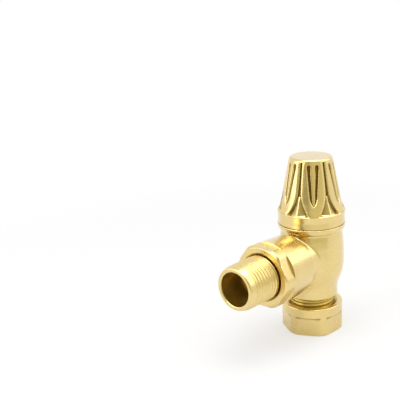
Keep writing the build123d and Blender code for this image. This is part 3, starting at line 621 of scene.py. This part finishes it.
class VALVE_OT_union_nut(bpy.types.Operator):
    """Captive nut of the union: tapered round collar behind a milled hexagon"""
    bl_idname = "valve.union_nut"
    bl_label = "Union nut"

    def execute(self, context):
        shape, finish = settings(context)
        thread_r, hole_r, flange_r, rear_r = G34_R + THREAD_GAP + 0.04, 10.8, 12.3, NUT_R - 0.5
        thread_end, shoulder, hex_start, shelf = 32.1, UNION_FRONT - 3.1, UNION_FRONT - 5.8, 0.3
        corners = [
            (thread_r, UNION_REAR, 0.25), (rear_r, UNION_REAR, 0.4),
            (NUT_R, hex_start - shelf, 0.0), (NUT_R, hex_start, 0.0, FLATS),
            (NUT_R, UNION_FRONT - 0.9, 0.4, FLATS),
            (NUT_R - 1.3, UNION_FRONT, 0.4), (hole_r + 0.65, UNION_FRONT, 0.2),
            (hole_r, UNION_FRONT - 0.65, 0.2), (hole_r, shoulder), (flange_r, shoulder),
            (flange_r, thread_end), (thread_r, thread_end, 0.1, THREAD)]
        rows = refined(rounded(corners), BSP_PITCH / 8, UNION_REAR + 0.6, 32, 13)
        rows = refined(rows, 0.02, hex_start - shelf, hex_start, 14)
        rows = ramped(rows, hex_start, hex_start - shelf, 14)
        cut = hexagon_cut(NUT_R - 1.15, UNION_NUT_TURN, 1000 * shape.edge,
                          1000 * shape.thread_depth, 1.6, hex_start, 0.25)
        piece = lathe("union_nut_visual", rows, 440, cut, ALONG_TAIL)
        # painted shade inside the nut's thread; the painted shadow at the shelf is kept faint
        x, y, z = places(piece).T
        inside = (np.hypot(x, z - TAIL_AXIS_Z) < thread_r + 0.1) & (y > -UNION_FRONT + 0.8)
        set_painted_shade(piece, np.maximum(0.9 * inside, 0.15 * painted_shade_of(piece)))
        metal = brass("union_brass", finish, finish.bore_shade_colour, (300, 2500, 300))
        finished(piece, metal, "nut_brass", "tail_nut", "union_nut")
        return {"FINISHED"}


class VALVE_OT_tail(bpy.types.Operator):
    """Radiator tail: sealing nose, flange, tapered-end thread and key socket"""
    bl_idname = "valve.tail"
    bl_label = "Radiator tail"

    def execute(self, context):
        shape, finish = settings(context)
        nose_r, ring_r, flange_r, neck_r, bore_r = 8.9, 7.6, 12.0, G12_R - 0.28, 6.3
        mouth_r, key_r, key_half, key_start, key_end = 7.86, 7.46, 6.5, TAIL_END - 15, TAIL_END - 22
        thread_start, thread_end = NOSE_START + 11.0, TAIL_END - 2.9
        corners = [
            (bore_r, NOSE_START, 0.2), (nose_r, NOSE_START, 0.3), (nose_r, NOSE_START + 1.2),
            (ring_r, NOSE_START + 1.2), (ring_r, NOSE_START + 3.0), (nose_r, NOSE_START + 3.0),
            (nose_r, NOSE_START + 4.3), (flange_r, NOSE_START + 4.3, 0.2),
            (flange_r, NOSE_START + 7.3, 0.2),
            (neck_r, NOSE_START + 7.3, 0.3), (neck_r, thread_start - 0.3, 0.2),
            (G12_R, thread_start, 0.2, THREAD), (G12_R, thread_end, 1.0),
            (G12_R - 0.82, TAIL_END - 0.1, 0.6), (mouth_r, TAIL_END, 0.5), (mouth_r, key_start),
            (key_r, key_start, 0.1, FLATS), (key_r, key_end, 0.05), (bore_r, key_end)]
        rows = refined(rounded(corners), BSP_PITCH / 16, thread_start - 0.2, thread_end + 0.5, 9.9)
        rows = refined(rows, 0.5, key_start + 0.1, TAIL_END)
        depth = 1000 * shape.thread_depth

        def tail(theta, r, z, weight):
            """Thread with a fade at both ends, and a hexagon socket for the fitting key."""
            ends = np.clip((z - thread_start) / 1.2, 0, 1) * np.clip((thread_end - z) / 1.0, 0, 1)
            cut = depth * ends * np.clip(-weight, 0, 1) * wave(theta, z, BSP_PITCH)
            socket = np.clip(flats(theta, key_half), 0, key_r)
            return r - cut + np.clip(weight, 0, 1) * (socket - key_r), z, 0 * r

        piece = lathe("union_tail_visual", rows, 240, tail, ALONG_TAIL)
        # painted shade: deeper into the bore and key socket, and a little in the thread's roots
        x, y, z = places(piece).T
        out, up = -y, z - TAIL_AXIS_Z
        radius = np.hypot(x, up)
        root = wave(np.arctan2(up, x), out, BSP_PITCH)
        root = root * (out > thread_start) * (out < thread_end) * (radius > G12_R - 1)
        bore = np.clip((TAIL_END - out) / 6.0, 0, 0.5) + 0.5 * (out < key_start + 0.2)
        set_painted_shade(piece, np.where(radius < mouth_r + 0.04, bore, 0.25 * root))
        metal = brass("tail_brass", finish, finish.bore_shade_colour, (400, 2500, 400))
        finished(piece, metal, "tail_brass", "tail", "union_tail")
        return {"FINISHED"}


class VALVE_OT_cap(bpy.types.Operator):
    """Lockshield cap: six tongued petals with darts between them, over a plain band"""
    bl_idname = "valve.cap"
    bl_label = "Lockshield cap"

    def execute(self, context):
        shape, finish = settings(context)
        foot_z, tip_z, rim_z = CAP_FOOT - 0.15, CAP_FOOT + 5.8, CAP_TOP - 1.9
        waist_z, waist_r, rim_r, skirt_r = tip_z + 5.9, TIP_R - 2.1, TIP_R - 5.65, 14.32
        wall, foot_wall, roof_z, ledge_z = 2.8, 3.1, CAP_TOP - 2.0, tip_z - 0.3
        corners = [
            (0.0, roof_z), (rim_r - wall, roof_z, 0.5), (waist_r - wall, waist_z, 6.0),
            (TIP_R - foot_wall, tip_z, 0.3), (TIP_R - foot_wall, ledge_z),
            (skirt_r, ledge_z), (skirt_r, foot_z, 0.2), (TIP_R - 0.2, foot_z, 0.3),
            (TIP_R - 0.3, CAP_FOOT + 2.9, 9.0), (TIP_R - 0.1, tip_z - 0.35, 0.25),
            (TIP_R, tip_z, 0.15), (TIP_R - 1.2, tip_z + 3.0, 9.0), (waist_r, waist_z, 12.0),
            (rim_r, rim_z, 1.2), (rim_r - 0.35, rim_z + 1.35, 1.0), (rim_r - 1.05, CAP_TOP, 0.8),
            (0.0, CAP_TOP)]
        step, above_waist = 0.225, waist_z + 2
        rows = refined(rounded(corners), step, tip_z, above_waist, 13.3)
        rows = refined(rows, step, above_waist, rim_z + 0.9, 10.3)
        relief = petal_relief(tip_z, waist_z, rim_z, 1000 * shape.flute_depth,
                              1000 * shape.gap_depth)
        piece = lathe("lockshield_cap_visual", rows, 504, relief, crisp=50)
        metal = brass("cap_brass", finish, finish.groove_shade_colour, (500, 500, 500))
        finished(piece, metal, "cap_brass", "cap", "lockshield_cap")
        return {"FINISHED"}


def petal_relief(tip_z, waist_z, rim_z, flute_depth, gap_depth):
    """Shape of the cap's tongue-and-dart ornament, cut inwards from its envelope.

    One sixth of a turn holds one petal. Points are measured on the surface as u, the arc from the
    petal's middle, and z. The petal's edge and the middle of its groove are lines in u and z. The
    depth is a function of the distance to the nearest edge: a parabola on the metal side and a
    wall with an S section on the open side. The channel between two petals opens downwards into a
    triangle, where a dart stands: a roof from its ridge down to the petals' feet.
    """
    sector = TURN / 6
    # The petal's edge: half its angle at each height.
    heights = np.array([0.1, 0.35, 0.8, 1.5, 2.4, 3.6, 5.7, 8.0, 10.1, 14.7, 25.0]) + tip_z
    half_angles = np.radians([0.0, 7.0, 10.0, 12.6, 14.6, 17.0, 21.2, 24.4, 26.0, 26.7, 26.4])
    # The groove round its tongue: arc from the middle and half the width at each height.
    groove_z = np.array([4.9, 5.6, 6.6, 8.2, 12.7, 19.4, 21.5, 23.9]) + tip_z
    groove_u = np.array([0.0, 0.55, 0.9, 1.25, 1.5, 1.94, 1.94, 1.94])
    groove_w = np.array([0.62, 0.63, 0.66, 0.7, 0.75, 0.8, 1.0, 1.02])
    apex_z, ridge_depth, ridge_soft = tip_z + 9.0, 0.05, 0.12
    inside_z, inside_r = [tip_z, waist_z, rim_z + 1.0], [TIP_R - 1.5, TIP_R - 3.5, TIP_R - 6.95]
    level = np.linspace(heights[0], rim_z + 1, 100)
    turn = np.interp(level, heights, half_angles)
    bell = np.hanning(19)[1:-1]
    soft = np.convolve(np.pad(turn, 8, "edge"), bell / bell.sum(), "valid")
    turn += (soft - turn) * np.clip((level - tip_z - 2.0) / 3.0, 0, 1)
    groove_level = np.clip(level, groove_z[0], rim_z - 1.25)

    def shaded(depth):
        """Painted shade from a depth: the lips stay bright and the walls are painted darker."""
        return np.clip((depth - 0.35) / 0.4, 0, 1)

    def relief(theta, r, z, weight):
        per_petal = theta.shape[1] // 6
        outside = (r > np.interp(z, inside_z, inside_r)) & (z > tip_z) & (z < rim_z + 1.0)
        band = np.flatnonzero(outside[:, 0])
        zz, rr = z[band, :1], r[band, :1]
        angle = np.arange(per_petal)[None] * sector / per_petal
        away = np.mod(angle - math.radians(PETAL_TURN) + sector / 2, sector) - sector / 2
        away = np.abs(away)
        u, half_angle = away * rr, np.interp(zz, level, turn)
        petal = near_line(u, zz, turn * np.interp(level, zz[:, 0], rr[:, 0]), level)
        petal = np.where((away < half_angle) & (zz > heights[0]), petal, -petal)
        groove = near_line(u, zz, np.interp(level, groove_z, groove_u), groove_level)
        groove = groove - np.interp(zz, groove_z, groove_w)
        across, half = sector / 2 * rr - u, (sector / 2 - half_angle) * rr
        climb = np.clip((zz - tip_z) / (apex_z - tip_z), 0, 1)
        ridge = ridge_depth + (gap_depth - ridge_depth) * climb ** 1.7
        share = (np.hypot(across, ridge_soft) - ridge_soft) / (half - ridge_soft)
        share = np.clip(share, 0, 1)
        foot_depth = gap_depth + 0.6 * (1 - climb)
        floor = np.where(zz < apex_z, ridge + (foot_depth - ridge) * share,
                         gap_depth * np.clip((rim_z + 0.75 - zz) / 0.5, 0, 1))
        # the dart's roof facets are painted darker towards the petals' edges (painted shade)
        facet = (zz < apex_z) & (petal < 0)
        side = np.where(facet, np.clip(share / 0.15, 0, 1) * (0.3 + 0.6 * share), 0)
        flute = np.interp(zz, tip_z + np.array([4.9, 9, 14, 20]), [0.4, 0.8, 0.95, 1.0])
        wall = np.interp(zz, tip_z + np.array([4.9, 9]), [0.9, 0.6])
        trough = edge_cut(groove, flute_depth, 0.5, wall)
        channel = edge_cut(petal, floor, 1.2, 0.55)
        cut = np.maximum(channel, flute * trough) * np.clip((zz - tip_z - 0.1) / 0.6, 0, 1)
        # painted shade: dark channels and flutes with bright lips
        dark = np.maximum(shaded(channel) * ~facet, side)
        dark = np.maximum(dark, shaded(trough / flute_depth))
        # painted shadow line just under each petal's tip
        tip_shadow = (petal > -0.2) * np.clip(1 - np.abs(zz - tip_z - 0.3) / 0.25, 0, 1)
        dark = np.maximum(dark * np.clip((zz - tip_z - 0.7) / 0.4, 0, 1), 0.4 * tip_shadow)
        whole, painted_shade = np.zeros_like(r), np.zeros_like(r)
        whole[band], painted_shade[band] = np.tile(cut, 6), np.tile(dark, 6)
        return r - whole, z, painted_shade

    return relief


def near_line(u, z, line_u, line_z):
    """Distance from every point to the nearest segment of a line, as whole arrays."""
    best = np.full(np.broadcast(u, z).shape, 99.0)
    for au, az, bu, bz in zip(line_u[:-1], line_z[:-1], line_u[1:], line_z[1:]):
        du, dz = bu - au, bz - az
        t = np.clip(((u - au) * du + (z - az) * dz) / max(du * du + dz * dz, 1e-9), 0, 1)
        best = np.minimum(best, np.hypot(u - au - t * du, z - az - t * dz))
    return best


def edge_cut(inside, depth, rounding, wall):
    """Depth from the distance inside an edge: none far in, a parabola to it, all of it a wall out.

    The wall is an S in section, which leaves the parabola at its own slope, so no crease shows.
    """
    lip = np.minimum(0.17 * rounding, depth)
    rounded_lip = lip * np.clip(1 - inside / rounding, 0, 1) ** 2
    fall = np.clip(-inside / wall, 0, 1)
    leaving = lip / rounding * 2 * np.maximum(-inside, 0) * (1 - fall) ** 2
    down = (depth - lip) * fall * fall * (3 - 2 * fall)
    return np.where(inside > 0, rounded_lip, lip + leaving + down)


class VALVE_OT_headwork(bpy.types.Operator):
    """Headwork under the cap: bonnet, gland nut and square-ended spindle"""
    bl_idname = "valve.headwork"
    bl_label = "Headwork"

    def execute(self, context):
        shape, finish = settings(context)
        edge = 1000 * shape.edge
        metal = brass("inner_brass", finish, finish.bore_shade_colour, (600, 600, 2500), inner=True)
        thread_r, lift_r, hole_r, packing_r, gland_r = 10.94, 6.06, 3.56, 5.0, 6.5
        collar_r, collar_z, hex_r, hex_z, hex_top, box_z = 12.4, 58.8, 10.6, 60.4, 65.0, 67.0
        bonnet = [
            (lift_r, BONNET_FOOT, 0.2), (10.3, BONNET_FOOT, 0.15),
            (thread_r, BONNET_FOOT + 0.6, 0.15, THREAD), (thread_r, 57.4), (10.2, 57.7),
            (10.2, collar_z), (collar_r, collar_z, 0.2), (collar_r, hex_z, 0.3, FLATS),
            (10.0, hex_z, 0.1, FLATS), (hex_r, hex_z + 0.4, 0.2, FLATS),
            (hex_r, hex_top - 0.6, 0.2, FLATS), (9.4, hex_top, 0.2), (6.0, hex_top), (6.0, 65.9),
            (gland_r, 66.2, 0.1, THREAD), (gland_r, BONNET_TOP - 0.5), (6.0, BONNET_TOP),
            (packing_r, BONNET_TOP, 0.15), (packing_r, box_z), (hole_r, box_z), (hole_r, 65.6),
            (packing_r, 65.6), (packing_r, 63.8), (hole_r, 63.8), (hole_r, 62.5),
            (lift_r, 62.5, 0.1, THREAD)]
        rows = refined(rounded(bonnet), 0.18, BONNET_FOOT + 0.5, 72, 5.5)
        piece = lathe("bonnet_visual", rows, 240, headwork_cut(9.5, 0.0, edge))
        # painted shade inside the bonnet's packing bore
        set_painted_shade(piece, IN_BORE * (np.hypot(*places(piece)[:, :2].T) < packing_r + 0.2))
        finished(piece, metal, "inner_brass", "body", "bonnet")
        thread_r, blank_r, hole_r, roof_z = 6.57, 8.3, 4.1, 72.1
        gland = [
            (thread_r, GLAND_FOOT), (7.5, GLAND_FOOT, 0.2, FLATS),
            (blank_r, GLAND_FOOT + 0.4, 0.2, FLATS), (blank_r, GLAND_TOP - 0.9, 0.3, FLATS),
            (7.0, GLAND_TOP, 0.3), (hole_r, GLAND_TOP, 0.2), (hole_r, roof_z),
            (thread_r, roof_z, 0.1, THREAD)]
        rows = refined(rounded(gland), 0.12, GLAND_FOOT, 72, 6.3)
        piece = lathe("gland_nut_visual", rows, 288, headwork_cut(7.5, 15.0, edge))
        x, y, z = places(piece).T
        # painted shade inside the gland nut's bore
        set_painted_shade(piece, IN_BORE * (np.hypot(x, y) < thread_r + 0.13) * (z < 74.6))
        finished(piece, metal, "inner_brass", "gland", "gland_nut")
        pin_r, groove_r, shaft_r, lift_r, root_r, shank_r = 3.0, 2.3, 4.5, 6.0, 5.4, 3.5
        stem = [
            (0.0, STEM_FOOT), (pin_r, STEM_FOOT, 0.3), (pin_r, 37.4), (groove_r, 37.4),
            (groove_r, 38.2), (pin_r, 38.2), (pin_r, 41.3), (shaft_r, 41.3, 0.2), (shaft_r, 49.6),
            (root_r, 49.6), (lift_r, 50.2, 0.1, THREAD), (lift_r, 56.8), (root_r, 57.4),
            (shank_r, 57.4), (shank_r, STEM_TOP - 4.0, 0, FLATS),
            (shank_r, STEM_TOP - 0.4, 0.1, FLATS), (pin_r, STEM_TOP), (0.0, STEM_TOP)]
        rows = refined(rounded(stem), 0.12, 50, 57.2, 5.5)
        piece = lathe("spindle_visual", rows, 192, headwork_cut(2.5, 45.0, 0.12, 4))
        finished(piece, metal, "inner_brass", "stem", "spindle")
        return {"FINISHED"}


def headwork_cut(half, corner, edge, sides=6):
    """Shape of the headwork: flats, and threads of 1.5 mm below and 1 mm at the bonnet's top."""
    def cut(theta, r, z, weight):
        milled = smooth_min(r, flats(theta, half, corner, sides), edge)
        pitch = np.where((r > 6.3) & (z > 65), 1.0, 1.5)
        thread = np.clip(-weight, 0, 1) * THREAD_SHARE * pitch * SHOWN * wave(theta, z, pitch)
        return r + np.clip(weight, 0, 1) * (milled - r) - thread, z, 0 * r
    return cut


class VALVE_OT_inner_parts(bpy.types.Operator):
    """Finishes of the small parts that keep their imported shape: olive, seals, washers and clip"""
    bl_idname = "valve.inner_parts"
    bl_label = "Seals and small parts"

    def execute(self, context):
        finish = context.scene.valve_finish
        black, dark = finish.rubber_colour, finish.nylon_colour
        rubber = plain_finish("seal_rubber", black, [1.8 * c for c in black], 0.5, 1500, 1e-5)
        nylon = plain_finish("nylon", dark, [1.4 * c for c in dark], 0.42, 900, 8e-6)
        fibre = plain_finish("fibre", (0.17, 0.035, 0.015), (0.26, 0.075, 0.035), 0.75, 2200, 2e-5)
        packing = plain_finish("packing", (0.72, 0.72, 0.68), (0.86, 0.86, 0.84), 0.6, 2000, 2e-5)
        steel = plain_finish("spring_steel", (0.5, 0.5, 0.5), (0.62, 0.62, 0.61), 0.28, 3000, 4e-6,
                             metallic=1.0)
        packed_brass = bpy.data.materials["inner_brass"]  # the frame's own, which is plain
        dressed = {
            packed_brass: ("olive", "gland_follower", "valve_disc", "disc_screw"),
            rubber: ("disc_washer", "tail_o_ring", "spindle_o_ring", "cap_grip_ring"),
            steel: ("swivel_clip",), fibre: ("bonnet_washer",), packing: ("gland_packing",),
            nylon: ("cap_insert",)}
        for material, names in dressed.items():
            for name in names:
                materials = frame["nodes"][name].data.materials
                materials.clear()
                materials.append(material)
        return {"FINISHED"}


class VALVE_OT_stage(bpy.types.Operator):
    """Pale floor, white surroundings, softboxes and the camera"""
    bl_idname = "valve.stage"
    bl_label = "Stage"

    def execute(self, context):
        scene, stage = context.scene, context.scene.valve_stage
        scene.view_settings.view_transform = "Standard"
        self.floor(stage.floor_colour)
        for turns, strength in GREY_CARDS:
            self.grey_card(turns, stage.card_colour, strength)
        self.surroundings(scene, stage.sky_light)
        for name, (azimuth, elevation, size, power) in SOFTBOXES.items():
            lamp = bpy.data.lights.new(name, "AREA")
            lamp.size, lamp.energy = size, power * stage.lamp_power
            back = direction(CAMERA_AZIMUTH + azimuth, elevation)
            placed(name, lamp).matrix_world = facing(AIM + back * SOFTBOX_DISTANCE, back)
        camera = bpy.data.cameras.new("camera")
        camera.sensor_width, camera.lens = SENSOR, stage.lens
        camera.clip_start, camera.clip_end = 0.01, 50
        view = facing(Vector(), direction(CAMERA_AZIMUTH, CAMERA_ELEVATION), CAMERA_ROLL)
        width = CAMERA_DISTANCE * SENSOR / stage.lens
        aside = Vector((AIM_IN_VIEW[0] * width, AIM_IN_VIEW[1] * width, -CAMERA_DISTANCE))
        view.translation = AIM - view.to_3x3() @ aside
        scene.camera = placed("camera", camera)
        scene.camera.matrix_world = view
        return {"FINISHED"}

    def floor(self, colour):
        """A matt floor that keeps shadows near the valve and fades to even white further out."""
        side = 4.0
        corners = [(-side, -side, 0), (side, -side, 0), (side, side, 0), (-side, side, 0)]
        paint = Finish("floor_paint", Roughness=0.9, **{"Specular IOR Level": 0.0})
        set_inputs(paint.surface, {"Base Color": (*colour, 1)})
        away = paint.add("VectorMath", operation="LENGTH")
        paint.link(paint.place, away, 0)
        away = away.outputs["Value"]
        rays = paint.add("LightPath").outputs
        direct = paint.maths("MULTIPLY", rays["Is Camera Ray"],
                             paint.ranged(away, 0.05, 0.3, 0.5, 1.0))
        seen = paint.maths("MAXIMUM", rays["Is Glossy Ray"], rays["Is Transmission Ray"])
        seen = paint.maths("MULTIPLY", seen, paint.ranged(away, 0.08, 0.45, 0.15, 1.0))
        blend = paint.add("MixShader")
        paint.link(paint.maths("MAXIMUM", direct, seen), blend, 0)
        paint.link(paint.surface.outputs[0], blend, 1)
        paint.link(paint.glow((1, 1, 1)), blend, 2)
        paint.show(blend.outputs[0])
        sheet("floor", corners, [(0, 1, 2, 3)], paint)

    def grey_card(self, turns, colour, strength):
        """A card that only the metal's reflections see. It lies on the floor in front of the valve
        and stands up behind the camera; turns are the places of its folds round the valve."""
        near, far, low, high = 0.24, 0.7, 0.002, 0.9
        corners = [direction(CAMERA_AZIMUTH + turn, 0) * away + Vector((0, 0, z))
                   for turn in turns for away, z in ((near, low), (far, low), (far, high))]
        faces = [(i + k, i + k + 3, i + k + 4, i + k + 1)
                 for i in range(0, len(corners) - 3, 3) for k in (0, 1)]
        paint = Finish("grey_card")
        paint.show(paint.glow(colour, strength))
        card = sheet("grey_card", corners, faces, paint)
        card.visible_camera = card.visible_diffuse = card.visible_shadow = False
        card.visible_transmission = False

    def surroundings(self, scene, sky_light):
        """White all round: at full strength to the camera and in reflections, dimmer on matt
        surfaces."""
        scene.world = world = bpy.data.worlds.new("surroundings")
        world.use_nodes = True
        nodes, links = world.node_tree.nodes, world.node_tree.links
        sky = set_inputs(nodes["Background"], {"Color": (1, 1, 1, 1)})
        rays = nodes.new("ShaderNodeLightPath").outputs
        seen = rays["Is Camera Ray"]
        for kind in ("Is Glossy Ray", "Is Transmission Ray"):
            both = nodes.new("ShaderNodeMath")
            both.operation = "MAXIMUM"
            links.new(seen, both.inputs[0])
            links.new(rays[kind], both.inputs[1])
            seen = both.outputs[0]
        strength = set_inputs(nodes.new("ShaderNodeMapRange"), {3: sky_light, 4: 1.0})
        links.new(seen, strength.inputs[0])
        links.new(strength.outputs[0], sky.inputs["Strength"])


def sheet(name, corners, faces, paint):
    """A flat or folded surface of the stage."""
    mesh = bpy.data.meshes.new(name)
    mesh.from_pydata(corners, [], faces)
    mesh.materials.append(paint.material)
    return placed(name, mesh)


def direction(azimuth, elevation):
    """Unit vector from the object; azimuth 0 is towards -Y and 90 towards +X, in degrees."""
    a, e = math.radians(azimuth), math.radians(elevation)
    return Vector((math.sin(a) * math.cos(e), -math.cos(a) * math.cos(e), math.sin(e)))


def facing(place, back, roll=0.0):
    """Matrix of a camera or lamp at a place that looks against the direction back."""
    across = Vector((0, 0, 1)).cross(back).normalized()
    turn = Matrix((across, back.cross(across), back)).transposed()
    turn = turn @ Matrix.Rotation(math.radians(roll), 3, "Z")
    return Matrix.Translation(place) @ turn.to_4x4()


class VALVE_PT_sidebar(bpy.types.Panel):
    """Buttons and settings of the valve"""
    bl_idname = "VALVE_PT_sidebar"
    bl_label = "Lockshield valve"
    bl_space_type = "VIEW_3D"
    bl_region_type = "UI"
    bl_category = "Valve"

    def draw(self, context):
        for operator in OPERATORS:
            self.layout.operator(operator.bl_idname)
        for key, group in SETTINGS.items():
            box = self.layout.box()
            for name in group.__annotations__:
                box.prop(getattr(context.scene, key), name)


SETTINGS = {"valve_shape": ValveShape, "valve_finish": ValveFinish, "valve_stage": ValveStage}
OPERATORS = (
    VALVE_OT_body, VALVE_OT_compression_nut, VALVE_OT_union_nut, VALVE_OT_tail,
    VALVE_OT_cap, VALVE_OT_headwork, VALVE_OT_inner_parts, VALVE_OT_stage)


def register():
    for kind in (*SETTINGS.values(), *OPERATORS, VALVE_PT_sidebar):
        bpy.utils.register_class(kind)
    for key, group in SETTINGS.items():
        setattr(bpy.types.Scene, key, PointerProperty(type=group))


def unregister():
    for key in SETTINGS:
        delattr(bpy.types.Scene, key)
    for kind in (VALVE_PT_sidebar, *reversed(OPERATORS), *reversed(SETTINGS.values())):
        bpy.utils.unregister_class(kind)


def main():
    register()
    bpy.ops.valve.body()
    bpy.ops.valve.compression_nut()
    bpy.ops.valve.union_nut()
    bpy.ops.valve.tail()
    bpy.ops.valve.cap()
    bpy.ops.valve.headwork()
    bpy.ops.valve.inner_parts()
    bpy.ops.valve.stage()


if __name__ == "__main__":
    main()
